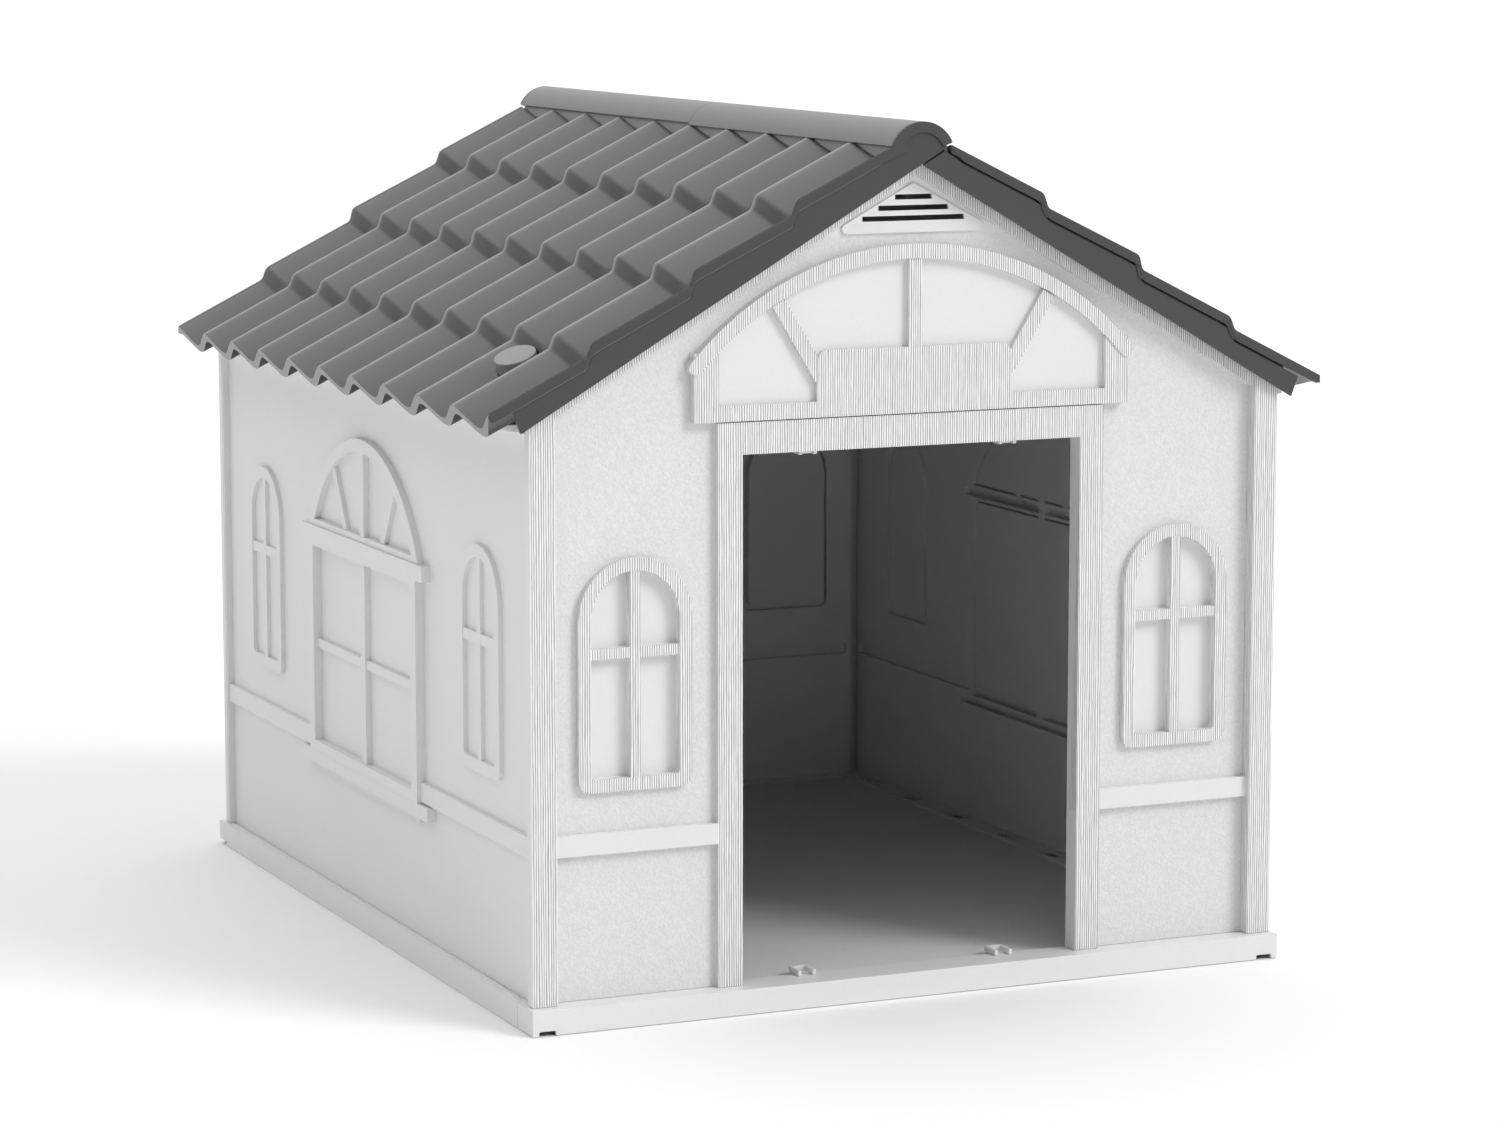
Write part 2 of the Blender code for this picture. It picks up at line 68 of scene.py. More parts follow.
class Body(Enum):
    """The rigid bodies that pieces ride on."""

    HOUSE = "house"
    ROOF = "roof"
    KNOB_LEFT = "knob_left"
    KNOB_RIGHT = "knob_right"


class Slot(Enum):
    """The record's material slots."""

    WALL = "wall_plastic"
    ROOF = "roof_plastic"


class WallFinish(IntEnum):
    """A face's place in an end wall's list of materials."""

    SMOOTH = 0
    STIPPLE = 1
    WOOD = 2


class RoofFinish(IntEnum):
    """A face's place in the roof's list of materials."""

    TILE = 0
    CUT_EDGE = 1
    FASCIA = 2
    ROLL = 3


# --- finishes ----------------------------------------------------------------------------------


@dataclass(frozen=True)
class PlasticFinish:
    """A moulded plastic: its colour, gloss and a fine surface texture on Object coordinates.

    The texture is a noise whose cells are set by `cells`, in cells per metre along X, Y and Z, so that a low
    number on one axis draws it out into streaks along that axis. A combed finish has upright lines in place
    of the noise, turned so that faces along X and along Y both show them.
    """

    name: str
    colour: tuple[float, float, float]
    roughness: float
    cells: tuple[float, float, float]
    relief: float
    strength: float
    shade_depth: float
    patch_depth: float = 0.03
    sharpness: Point = (0.35, 0.65)
    # Colour of a painted highlight, mixed in by the piece's attribute of the same name.
    painted_highlight: tuple[float, float, float] | None = None
    combed: bool = False
    grain_detail: float = 3.0
    grain_roughness: float = 0.6
    comb_wander: float = 3.5
    comb_turn: float = math.radians(45)
    patch_scale: float = 9.0
    patch_detail: float = 2.0

    def material(self) -> bpy.types.Material:
        """Builds the node material.

        Returns:
            The finished material.
        """
        made = bpy.data.materials.new(self.name)
        made.use_nodes = True
        tree = made.node_tree
        place = tree.nodes.new("ShaderNodeTexCoord").outputs["Object"]
        grain = self._grain(tree, place)
        patches = self._node(tree, "ShaderNodeTexNoise", {
            "Vector": place, "Scale": self.patch_scale, "Detail": self.patch_detail}).outputs["Fac"]
        fine = self._darkened(tree, grain, self.shade_depth)
        broad = self._darkened(tree, patches, self.patch_depth)
        shade = self._mixed(tree, "MULTIPLY", fine, broad, 1.0)
        bump = self._node(tree, "ShaderNodeBump", {
            "Strength": self.strength, "Distance": self.relief, "Height": grain})
        self._fill(tree, tree.nodes["Principled BSDF"], {
            "Roughness": self.roughness,
            "Base Color": self._mixed(tree, "MULTIPLY", shade, self._colour(tree), 1.0),
            "Normal": bump.outputs["Normal"]})
        return made

    def _grain(self, tree: bpy.types.NodeTree, place: bpy.types.NodeSocket) -> bpy.types.NodeSocket:
        """The fine texture, from 0 to 1 with its middle steepened: noise, or the combed lines."""
        stretch = self._node(tree, "ShaderNodeMapping", {"Vector": place, "Scale": self.cells})
        settings = {"Vector": stretch.outputs["Vector"], "Scale": 1.0, "Detail": self.grain_detail}
        if self.combed:
            stretch.inputs["Rotation"].default_value = (0.0, 0.0, self.comb_turn)
            settings |= {"Distortion": self.comb_wander, "Detail Roughness": self.grain_roughness}
            grain = self._node(tree, "ShaderNodeTexWave", settings)
        else:
            grain = self._node(tree, "ShaderNodeTexNoise", settings | {"Roughness": self.grain_roughness})
        low, high = self.sharpness
        steep = {"Value": grain.outputs["Fac"], "From Min": low, "From Max": high}
        return self._node(tree, "ShaderNodeMapRange", steep).outputs["Result"]

    def _colour(self, tree: bpy.types.NodeTree) -> Setting:
        """The plastic's colour, lightened by a painted highlight where the piece's own attribute asks for it.
        """
        plain = (*self.colour, 1.0)
        if not self.painted_highlight:
            return plain
        # The attribute weights the painted highlight colour against the plain colour.
        painted_highlight_weight = tree.nodes.new("ShaderNodeAttribute")
        painted_highlight_weight.attribute_name = "painted_highlight"
        return self._mixed(tree, "MIX", plain, (*self.painted_highlight, 1.0), painted_highlight_weight.outputs["Fac"])

    @staticmethod
    def _fill(tree: bpy.types.NodeTree, node: bpy.types.Node, settings: dict[str, Setting]) -> bpy.types.Node:
        """Fills a node's inputs by name: a socket is linked, and a value is set."""
        for name, setting in settings.items():
            if isinstance(setting, bpy.types.NodeSocket):
                tree.links.new(setting, node.inputs[name])
            else:
                node.inputs[name].default_value = setting
        return node

    @classmethod
    def _node(cls, tree: bpy.types.NodeTree, kind: str, settings: dict[str, Setting]) -> bpy.types.Node:
        """Adds a node with its inputs filled."""
        return cls._fill(tree, tree.nodes.new(kind), settings)

    @classmethod
    def _mixed(cls, tree: bpy.types.NodeTree, way: str, first: Setting, second: Setting,
               factor: Setting) -> bpy.types.NodeSocket:
        """Mixes two colours by a blend type."""
        mix = tree.nodes.new("ShaderNodeMix")
        mix.data_type = "RGBA"
        mix.blend_type = way
        return cls._fill(tree, mix, {"Factor": factor, "A": first, "B": second}).outputs["Result"]

    @classmethod
    def _darkened(cls, tree: bpy.types.NodeTree, pattern: bpy.types.NodeSocket,
                  depth: float) -> bpy.types.NodeSocket:
        """Turns a pattern from 0 to 1 into a grey from 1 - depth to 1."""
        grey = {"Value": pattern, "To Min": 1.0 - depth, "To Max": 1.0}
        return cls._node(tree, "ShaderNodeMapRange", grey).outputs["Result"]


@dataclass
class Palette:
    """The kennel's finishes, built once and shared."""

    wall: PlasticFinish = PlasticFinish(
        "wall_smooth", (0.80, 0.81, 0.815), roughness=0.42, cells=(700, 700, 700),
        relief=0.00004, strength=0.2, shade_depth=0.03)
    stipple: PlasticFinish = PlasticFinish(
        "wall_stipple", (0.79, 0.80, 0.80), roughness=0.5, cells=(520, 520, 520),
        relief=0.0004, strength=0.55, shade_depth=0.10)
    wood: PlasticFinish = PlasticFinish(
        "wall_wood_grain", (0.95, 0.955, 0.96), roughness=0.5, cells=(206, 206, 14),
        relief=0.0003, strength=0.6, shade_depth=0.58, sharpness=(0.1, 0.8), combed=True)
    side: PlasticFinish = PlasticFinish(
        "side_wall", (0.80, 0.805, 0.81), roughness=0.45, cells=(420, 420, 420),
        relief=0.00015, strength=0.3, shade_depth=0.03)
    floor: PlasticFinish = PlasticFinish(
        "floor_plastic", (0.76, 0.77, 0.77), roughness=0.5, cells=(420, 420, 420),
        relief=0.0003, strength=0.4, shade_depth=0.06)
    # The tiles' crests carry a painted highlight in a lighter grey, which fades into the valleys.
    tile: PlasticFinish = PlasticFinish(
        "roof_tile", (0.050, 0.052, 0.0525), roughness=0.34, cells=(600, 600, 600),
        relief=0.00004, strength=0.25, shade_depth=0.06, painted_highlight=(0.36, 0.365, 0.37))
    roll: PlasticFinish = PlasticFinish(
        "roof_roll", (0.26, 0.263, 0.265), roughness=0.3, cells=(600, 600, 600),
        relief=0.00004, strength=0.2, shade_depth=0.05)
    fascia: PlasticFinish = PlasticFinish(
        "roof_fascia", (0.052, 0.054, 0.054), roughness=0.42, cells=(700, 700, 700),
        relief=0.00004, strength=0.2, shade_depth=0.05)
    cut_edge: PlasticFinish = PlasticFinish(
        "roof_cut_edge", (0.27, 0.272, 0.275), roughness=0.35, cells=(600, 600, 600),
        relief=0.00003, strength=0.2, shade_depth=0.04)
    built: dict[str, bpy.types.Material] = field(default_factory=dict)

    def get(self, finish: PlasticFinish) -> bpy.types.Material:
        """The material of a finish, made the first time it is asked for."""
        if finish.name not in self.built:
            self.built[finish.name] = finish.material()
        return self.built[finish.name]


# --- workbench: modelling with Blender's operators ---------------------------------------------


class Bench:
    """Modelling steps as done by hand, each on one object at a time."""

    @staticmethod
    def pick(*objects: bpy.types.Object) -> None:
        """Selects only these objects, and makes the first one active."""
        if bpy.context.object and bpy.context.object.mode != "OBJECT":
            bpy.ops.object.mode_set(mode="OBJECT")
        bpy.ops.object.select_all(action="DESELECT")
        for item in objects:
            item.select_set(True)
        bpy.context.view_layer.objects.active = objects[0]

    @staticmethod
    def edit(piece: bpy.types.Object) -> None:
        """Opens a piece in edit mode with all of it selected."""
        Bench.pick(piece)
        bpy.ops.object.mode_set(mode="EDIT")
        bpy.ops.mesh.select_all(action="SELECT")

    @staticmethod
    def done() -> None:
        """Leaves edit mode."""
        bpy.ops.object.mode_set(mode="OBJECT")

    @staticmethod
    def bevel(piece: bpy.types.Object, width: float, segments: int = 2) -> None:
        """Rounds every sharp edge.

        Args:
            piece: The mesh object.
            width: The rounding's width in metres.
            segments: How many faces make up each rounding.
        """
        Bench.pick(piece)
        rounding = piece.modifiers.new("rounding", "BEVEL")
        rounding.width = width
        rounding.segments = segments
        rounding.limit_method = "ANGLE"
        rounding.angle_limit = EDGE_ANGLE
        rounding.miter_outer = "MITER_ARC"
        bpy.ops.object.modifier_apply(modifier=rounding.name)

    @staticmethod
    def smooth(piece: bpy.types.Object, angle: float = 40.0) -> None:
        """Shades a piece smooth, with creases kept where faces meet at more than an angle."""
        Bench.pick(piece)
        bpy.ops.object.shade_smooth_by_angle(angle=math.radians(angle))
        weighting = piece.modifiers.new("flat_faces_lead", "WEIGHTED_NORMAL")
        weighting.keep_sharp = True
        bpy.ops.object.modifier_apply(modifier=weighting.name)

    @staticmethod
    def join(name: str, pieces: Sequence[bpy.types.Object]) -> bpy.types.Object:
        """Joins pieces into the first one and names it."""
        Bench.pick(*pieces)
        if len(pieces) > 1:
            bpy.ops.object.join()
        joined = bpy.context.view_layer.objects.active
        joined.name = name
        joined.data.name = name
        return joined

    @staticmethod
    def copy(piece: bpy.types.Object, name: str, turn: float = 0.0) -> bpy.types.Object:
        """A copy with its own mesh, turned about the vertical axis through the frame's origin."""
        Bench.pick(piece)
        bpy.ops.object.duplicate()
        twin = bpy.context.view_layer.objects.active
        twin.name = name
        twin.data.name = name
        twin.data.transform(Matrix.Rotation(turn, 4, "Z"))
        return twin

    @staticmethod
    def box(name: str, low: Sequence[float], high: Sequence[float]) -> bpy.types.Object:
        """A block between two corners."""
        centre = [(a + b) / 2 for a, b in zip(low, high)]
        size = [b - a for a, b in zip(low, high)]
        bpy.ops.object.select_all(action="DESELECT")
        bpy.ops.mesh.primitive_cube_add(size=1.0, location=centre)
        piece = bpy.context.object
        piece.name = name
        piece.scale = size
        bpy.ops.object.transform_apply(location=True, rotation=True, scale=True)
        return piece

    @staticmethod
    def plate(name: str, outline: Profile, front: float, thickness: float,
              rounding: float = 0.0) -> bpy.types.Object:
        """An upright board cut to an outline in X and Z, from y = front on by its thickness along Y."""
        bpy.ops.object.select_all(action="DESELECT")
        bpy.ops.mesh.primitive_circle_add(vertices=len(outline), radius=1.0, fill_type="NGON")
        piece = bpy.context.object
        piece.name = name
        for vertex, (x, z) in zip(piece.data.vertices, outline):
            vertex.co = (x, front, z)
        Bench.edit(piece)
        bpy.ops.mesh.extrude_region_move(TRANSFORM_OT_translate={"value": (0.0, thickness, 0.0)})
        bpy.ops.mesh.select_all(action="SELECT")
        bpy.ops.mesh.normals_make_consistent(inside=False)
        Bench.done()
        if rounding:
            Bench.bevel(piece, rounding)
        return piece

    @staticmethod
    def cut(piece: bpy.types.Object, cutters: Iterable[bpy.types.Object]) -> None:
        """Cuts each cutter from a piece, and throws the cutters away."""
        for cutter in list(cutters):
            Bench.pick(piece)
            hole = piece.modifiers.new("hole", "BOOLEAN")
            hole.operation = "DIFFERENCE"
            hole.solver = "EXACT"
            hole.object = cutter
            bpy.ops.object.modifier_apply(modifier=hole.name)
            bpy.data.objects.remove(cutter)

    @staticmethod
    def softened(node: str, name: str, rounding: float, finishes: Sequence[bpy.types.Material],
                 chooser: Callable[[bpy.types.MeshPolygon], WallFinish] | None = None,
                 splits: Sequence[tuple[str, float]] = ()) -> bpy.types.Object:
        """A copy of a CAD solid with its flat faces merged and its edges rounded.

        Args:
            node: The CAD node's name.
            name: The new piece's name.
            rounding: Width of the rounding in metres.
            finishes: The piece's materials.
            chooser: Gives a face's place in that list. Without it every face takes the first.
            splits: Planes, as an axis name and a distance, where faces are split so that finishes can meet.

        Returns:
            The new piece, which replaces the node.
        """
        piece = bpy.data.objects.new(name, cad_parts[node].data.copy())
        bpy.context.scene.collection.objects.link(piece)
        piece.data.materials.clear()
        Bench.edit(piece)
        bpy.ops.mesh.remove_doubles(threshold=WELD)
        bpy.ops.mesh.customdata_custom_splitnormals_clear()
        for axis, distance in splits:
            across = Vector([float(axis == letter) for letter in "xyz"])
            bpy.ops.mesh.select_all(action="SELECT")
            bpy.ops.mesh.bisect(plane_co=across * distance, plane_no=across, threshold=SPLIT_REACH)
        Bench.done()
        for finish in finishes:
            piece.data.materials.append(finish)
        if chooser:
            for face in piece.data.polygons:
                face.material_index = chooser(face)
        Bench.edit(piece)
        bpy.ops.mesh.dissolve_limited(angle_limit=FLAT_ANGLE, delimit={"MATERIAL"})
        bpy.ops.mesh.select_all(action="SELECT")
        bpy.ops.mesh.vert_connect_concave()
        Bench.done()
        Bench.bevel(piece, rounding)
        Bench.smooth(piece)
        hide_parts(node)
        return piece


def arc(centre: Point, radius: float, start: float, end: float, steps: int) -> list[Point]:
    """Points on an arc, from one angle to another in degrees."""
    angles = [math.radians(start + (end - start) * i / steps) for i in range(steps + 1)]
    return [(centre[0] + radius * math.cos(a), centre[1] + radius * math.sin(a)) for a in angles]


def between(table: Profile, at: float) -> float:
    """The height of a polyline of (distance, height) points at a distance."""
    for (x0, y0), (x1, y1) in zip(table, table[1:]):
        if at <= x1:
            return y0 + (y1 - y0) * (at - x0) / (x1 - x0)
    return table[-1][1]


def handed(piece: bpy.types.Object, body: Body) -> None:
    """Lets a finished piece ride on its body."""
    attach(piece, body.value)
    log.info("%s: %d faces on %s", piece.name, len(piece.data.polygons), body.value)


# --- base and floor ----------------------------------------------------------------------------


@dataclass
class Base:
    """Sills, side rails and the two floor halves."""

    palette: Palette
    rounding: float = 0.9 * MM
    clip_rounding: float = 0.5 * MM

    def build(self) -> None:
        """Makes the rails, sills, floor halves and door clips."""
        wall, floor = self.palette.get(self.palette.wall), self.palette.get(self.palette.floor)
        groups = ((("front_sill", "rear_sill", "side_rail_left", "side_rail_right"), self.rounding, wall),
                  (("floor_front", "floor_rear"), self.rounding, floor),
                  (("sill_clip_left", "sill_clip_right", "header_clip_left", "header_clip_right"),
                   self.clip_rounding, wall))
        for nodes, rounding, finish in groups:
            for node in nodes:
                handed(Bench.softened(node, node + "_skin", rounding, [finish]), Body.HOUSE)


# --- walls -------------------------------------------------------------------------------------


@dataclass
class EndWalls:
    """Front and rear walls: posts, casing, pediment and windows with wood grain on a stippled field.

    Heights named `proud` are measured outward from the stippled field.
    """

    palette: Palette
    field_y: float = 416.4 * MM
    rail: Point = (147.0 * MM, 166.0 * MM)
    post_inner: float = 331.9 * MM
    post_outer: float = 353 * MM
    casing: float = 183.2 * MM
    smooth_above: float = 658.9 * MM
    field_proud: Point = (-0.6 * MM, 0.4 * MM)
    rail_proud: float = 7.5 * MM
    pane_proud: float = 3.0 * MM
    pane_slack: float = 0.5 * MM
    square_on: float = 0.9
    sideways: float = 0.7
    turned_away: float = -0.2
    rounding: float = 0.5 * MM

    def build(self) -> None:
        """Makes both end walls."""
        for node, outward in (("front_wall", -1.0), ("rear_wall", 1.0)):
            finishes = [self.palette.get(finish) for finish in
                        (self.palette.wall, self.palette.stipple, self.palette.wood)]
            splits = [("x", side * at) for side in (-1, 1) for at in (self.casing, self.post_inner)]
            splits += [("z", at) for at in (*self.rail, self.smooth_above)]
            wall = Bench.softened(node, node + "_skin", self.rounding, finishes,
                                  lambda face, way=outward: self.finish_of(face, way), splits)
            handed(wall, Body.HOUSE)

    def finish_of(self, face: bpy.types.MeshPolygon, outward: float) -> WallFinish:
        """Chooses a face's finish by where it lies on the wall.

        Args:
            face: A face of the wall.
            outward: -1 for the front wall, 1 for the rear one.

        Returns:
            The face's finish.
        """
        x, y, z = face.center
        proud = outward * y - self.field_y
        facing = outward * face.normal.y
        behind, level = self.field_proud
        if proud < behind:
            return WallFinish.SMOOTH
        if proud < level:
            on_field = facing > self.square_on and z < self.smooth_above
            return WallFinish.STIPPLE if on_field else WallFinish.SMOOTH
        has_rail = outward > 0 or abs(x) >= self.casing
        on_rail = self.rail[0] < z < self.rail[1] and abs(x) < self.post_inner and proud < self.rail_proud
        on_pane = abs(proud - self.pane_proud) < self.pane_slack and facing > self.square_on
        on_corner = abs(face.normal.x) > self.sideways and abs(x) > self.post_outer
        if (has_rail and on_rail) or on_pane or on_corner or facing <= self.turned_away:
            return WallFinish.SMOOTH
        return WallFinish.WOOD


@dataclass
class SideWalls:
    """Left and right walls, whose windows are all in relief."""

    palette: Palette
    rounding: float = 0.45 * MM

    def build(self) -> None:
        """Makes both side walls."""
        for node in ("left_wall", "right_wall"):
            wall = Bench.softened(node, node + "_skin", self.rounding, [self.palette.get(self.palette.side)])
            handed(wall, Body.HOUSE)


@dataclass
class Vent:
    """The louvred triangular insert under the gable's apex.

    Each slot is its height and half its length, in millimetres.
    """

    palette: Palette
    half_width: float = 66.5 * MM
    low: float = 661.2 * MM
    apex: float = 703.0 * MM
    thickness: float = 2.5 * MM
    corner: float = 4.6 * MM
    apex_corner: float = 3 * MM
    rounding: float = 0.5 * MM
    inner: tuple[Point, ...] = ((-57 * MM, 668 * MM), (57 * MM, 668 * MM), (0.0, 700.0 * MM))
    inner_proud: float = 0.2 * MM
    inner_thickness: float = 1.7 * MM
    slots: tuple[Point, ...] = ((691.5, 17.4), (682.3, 33.0), (673.5, 48.0))
    slot_height: float = 4.4 * MM
    slot_reach: float = 10 * MM

    def build(self) -> None:
        """Makes the front insert and its twin at the rear."""
        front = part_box("vent_front")[0].y
        corner = self.corner
        outline = arc((-self.half_width + corner, self.low + corner), corner, 140, 270, 8)
        outline += arc((self.half_width - corner, self.low + corner), corner, 270, 400, 8)
        outline += arc((0.0, self.apex - self.apex_corner), self.apex_corner, 57, 123, 4)
        plate = Bench.plate("vent_front_insert", outline, front, self.thickness, self.rounding)
        raised = Bench.plate("vent_raised", self.inner, front - self.inner_proud, self.inner_thickness)
        for body in (plate, raised):
            cutters = []
            for z, half in self.slots:
                low = (-half * MM, front - self.slot_reach, z * MM - self.slot_height / 2)
                high = (half * MM, front + self.slot_reach, z * MM + self.slot_height / 2)
                cutters.append(Bench.box("slot", low, high))
            Bench.cut(body, cutters)
        insert = Bench.join("vent_front_insert", [plate, raised])
        insert.data.materials.append(self.palette.get(self.palette.wall))
        Bench.smooth(insert)
        twin = Bench.copy(insert, "vent_rear_insert", HALF_TURN)
        for piece, node in ((insert, "vent_front"), (twin, "vent_rear")):
            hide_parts(node)
            handed(piece, Body.HOUSE)


# --- roof --------------------------------------------------------------------------------------


@dataclass
class RoofPanel:
    """One roof moulding: wavy tiles in courses, half of the ridge roll, and a fascia at each end.

    Distances across are measured from the ridge (s), and drops are measured down from the tiles' crest line.
    The tables, the marks, the shift and reaches of a course's steps, and verge_depth are in millimetres.
    """

    palette: Palette
    verge: float = 437.2 * MM
    waves: int = 10
    courses: tuple[Point, ...] = (
        (27.0, 735.6), (115.6, 692.5), (120.0, 679.8), (209.2, 636.9),
        (212.3, 624.1), (300.7, 580.2), (305.3, 568.4), (392.7, 524.8))
    top_wave: tuple[Point, ...] = (
        (0, 0), (2.4, 0.3), (4.4, 0.7), (8, 1.45), (27, 5.9), (43, 9.6), (53.5, 11.9), (61, 13.0),
        (66.5, 13.3), (70, 13.1), (73, 12.1), (76, 9.2), (79, 5.6), (82, 2.8), (84.5, 1.1), (86.4, 0.25),
        (87.44, 0))
    under_wave: tuple[Point, ...] = (
        (0, 15.5), (1.8, 13.0), (3.6, 10.6), (6, 8.3), (8.6, 7.1), (13, 6.9), (20, 8.0), (29.5, 10.2),
        (53, 15.2), (69, 18.4), (77, 19.0), (82, 18.9), (85, 17.9), (87.44, 15.5))
    # Weight of the painted highlight by phase in millimetres: a narrow painted highlight on each crest, then a
    # broad painted lightening that fades into the valley.
    painted_highlight_falloff: tuple[Point, ...] = (
        (0, 1.0), (2.4, 0.8), (4.4, 0.3), (8, 0.15), (14, 0.1), (20, 0.07), (35, 0.03), (48, 0.0), (82, 0.0),
        (84.5, 0.25), (86.4, 0.8), (87.44, 1.0))
    more_marks: tuple[float, ...] = (14.0, 20.0, 35.0, 48.0, 58.0)
    under_shift: float = -3.4
    nose_reach: float = 3.6
    foot_reach: float = 3.0
    reach_share: float = 0.45
    longest_part: float = 12 * MM
    verge_depth: float = 7.0
    verge_thick: float = 8 * MM
    far_gap: float = 1.5 * MM
    top_slack: float = 2.5 * MM
    eave_slack: float = 2 * MM
    eave_facing: float = 0.6
    verge_slack: float = 0.5 * MM
    verge_facing: float = 0.9
    crease: float = 38.0
    roll_z: float = 725.5 * MM
    roll_radius: float = 30.3 * MM
    roll_wall: float = 3.0 * MM
    roll_ends: Point = (0.4 * MM, 0.25 * MM)
    roll_rounding: float = 0.5 * MM
    lip_radii: Point = (26.4 * MM, 23.4 * MM)
    lip_ends: Point = (6 * MM, 5.6 * MM)
    rim_bore: float = 21 * MM
    rim_proud: float = 0.7 * MM
    rim_thickness: float = 4.7 * MM
    rim_rounding: float = 0.4 * MM
    fascia_apex: float = 719.7 * MM
    fascia_slope: float = 0.5835
    fascia_end: float = 364.3 * MM
    fascia_tip: float = 371.0 * MM
    fascia_past_tip: float = 1 * MM
    board_behind: float = 1.0 * MM
    board_thickness: float = 3 * MM
    board_rounding: float = 0.45 * MM
    board_saddle: float = 22.6 * MM
    mitres: Point = (24.6 * MM, -1.2 * MM)
    notch: Point = (-21.4 * MM, 4.0 * MM)
    lap: float = 25.4 * MM
    band_drop: float = 0.3 * MM
    band_proud: float = 0.5 * MM
    band_thickness: float = 5 * MM
    band_rounding: float = 0.4 * MM
    band_foot: Point = (2.8 * MM, 7 * MM)
    front_band_ends: tuple[Point, Point] = ((-14 * MM, 741.0 * MM), (-14 * MM, 731.0 * MM))
    rear_band_ends: tuple[Point, Point] = ((-27.0 * MM, 735.3 * MM), (-25.6 * MM, 733.2 * MM))
    web_behind: float = 6.0 * MM
    web_thickness: float = 1.5 * MM
    web_drop: float = 4.0 * MM
    web_rise: float = 3 * MM
    web_end: float = 366 * MM
    groove: float = 9.0 * MM
    gap: float = 1.9 * MM
    knob: tuple[float, float, float] = (322.0 * MM, 312.0 * MM, 560.1 * MM)
    knob_radius: float = 18.5 * MM
    seat_depth: float = 12 * MM
    seat_gap: float = 1.2 * MM
    boss_wall: float = 4 * MM
    boss_low: float = 19 * MM
    boss_gap: float = 0.05 * MM
    stem_hole: float = 6 * MM
    hole_low: float = 40 * MM
    hole_high: float = 25 * MM
    tilt: float = math.radians(20)
    lean: float = math.radians(11)

    @property
    def finishes(self) -> list[bpy.types.Material]:
        """The roof's materials, in the order of RoofFinish."""
        palette = self.palette
        return [palette.get(finish) for finish in
                (palette.tile, palette.cut_edge, palette.fascia, palette.roll)]

    @property
    def seat(self) -> Matrix:
        """The left knob's seat: the middle of its top, whose normal is the knob's axis."""
        s, y, z = self.knob
        return (Matrix.Translation((-s, -y, z)) @ Matrix.Rotation(-self.tilt, 4, "Y")
                @ Matrix.Rotation(self.lean, 4, "X"))

    def build(self) -> None:
        """Makes the left moulding and turns a copy of it round for the right one."""
        tiles = self.tiles()
        trim = self.trim()
        left = Bench.join("roof_left_moulding", [tiles, *trim])
        right = Bench.copy(left, "roof_right_moulding", HALF_TURN)
        for piece, node in ((left, "roof_left"), (right, "roof_right")):
            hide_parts(node)
            handed(piece, Body.ROOF)

    def course_line(self, under: bool) -> list[Point]:
        """The stepped line of the tiles' crest from ridge to eave, with rounded steps.

        Args:
            under: Whether the line is for the sheet's underside, whose steps lie nearer to the ridge.

        Returns:
            Points (s, z) in metres.
        """
        shift = self.under_shift if under else 0.0
        line: list[Point] = []
        last = len(self.courses) - 1
        for i, (s, z) in enumerate(self.courses):
            here = Vector((s + (shift if 0 < i < last else 0.0), z))
            if i in (0, last):
                line.append((here.x * MM, here.y * MM))
                continue
            before = Vector(self.courses[i - 1]) - Vector((s, z))
            after = Vector(self.courses[i + 1]) - Vector((s, z))
            reach = self.nose_reach if i % 2 else self.foot_reach
            start = here + before.normalized() * min(reach, before.length * self.reach_share)
            end = here + after.normalized() * min(reach, after.length * self.reach_share)
            for t in (0.0, 0.25, 0.5, 0.75, 1.0):
                point = start * (1 - t) ** 2 + here * 2 * t * (1 - t) + end * t * t
                line.append((point.x * MM, point.y * MM))
        filled: list[Point] = []
        for a, b in zip(line, line[1:]):
            parts = max(1, round((b[0] - a[0]) / self.longest_part))
            filled += [(a[0] + (b[0] - a[0]) * k / parts, a[1] + (b[1] - a[1]) * k / parts)
                       for k in range(parts)]
        return filled + [line[-1]]

    def wave_places(self) -> list[Point]:
        """Distance from the front verge and phase of every row of tile vertices."""
        pitch = 2 * self.verge / self.waves
        marks = sorted({x for x, _ in (*self.top_wave, *self.under_wave)} | set(self.more_marks))
        places = [(k * pitch + mark * MM, mark) for k in range(self.waves) for mark in marks[:-1]]
        return places + [(2 * self.verge, marks[-1])]

    def skin(self, name: str, under: bool) -> bpy.types.Object:
        """One face of the tiled sheet, shaped from a grid.

        Args:
            name: The object's name.
            under: Whether this is the underside.

        Returns:
            The open, wavy surface.
        """
        line = self.course_line(under)
        places = self.wave_places()
        bpy.ops.object.select_all(action="DESELECT")
        bpy.ops.mesh.primitive_grid_add(x_subdivisions=len(line) - 1, y_subdivisions=len(places) - 1)
        sheet = bpy.context.object
        sheet.name = name
        table = self.under_wave if under else self.top_wave
        across = len(line)
        for index, vertex in enumerate(sheet.data.vertices):
            s, z = line[index % across]
            along, phase = places[index // across]
            drop = between(table, phase)
            if under and along < self.verge_thick:
                drop = min(drop, self.verge_depth)
            y = max(self.verge - along, -self.verge + self.far_gap)
            vertex.co = (-s, y, z - drop * MM)
        return sheet

    def paint_crest_highlight(self, sheet: bpy.types.Object) -> None:
        """Records a painted highlight on the top surface as an attribute, strongest at each crest and fading
        into the valley.
        """
        painted_highlight = sheet.data.attributes.new("painted_highlight", "FLOAT", "POINT")
        pitch = 2 * self.verge / self.waves
        line = self.course_line(False)
        for vertex, value in zip(sheet.data.vertices, painted_highlight.data):
            phase = (self.verge - vertex.co.y) % pitch / MM
            surface = between(line, -vertex.co.x) - between(self.top_wave, phase) * MM
            on_top = abs(vertex.co.z - surface) < self.top_slack
            value.value = between(self.painted_highlight_falloff, phase) if on_top else 0.0

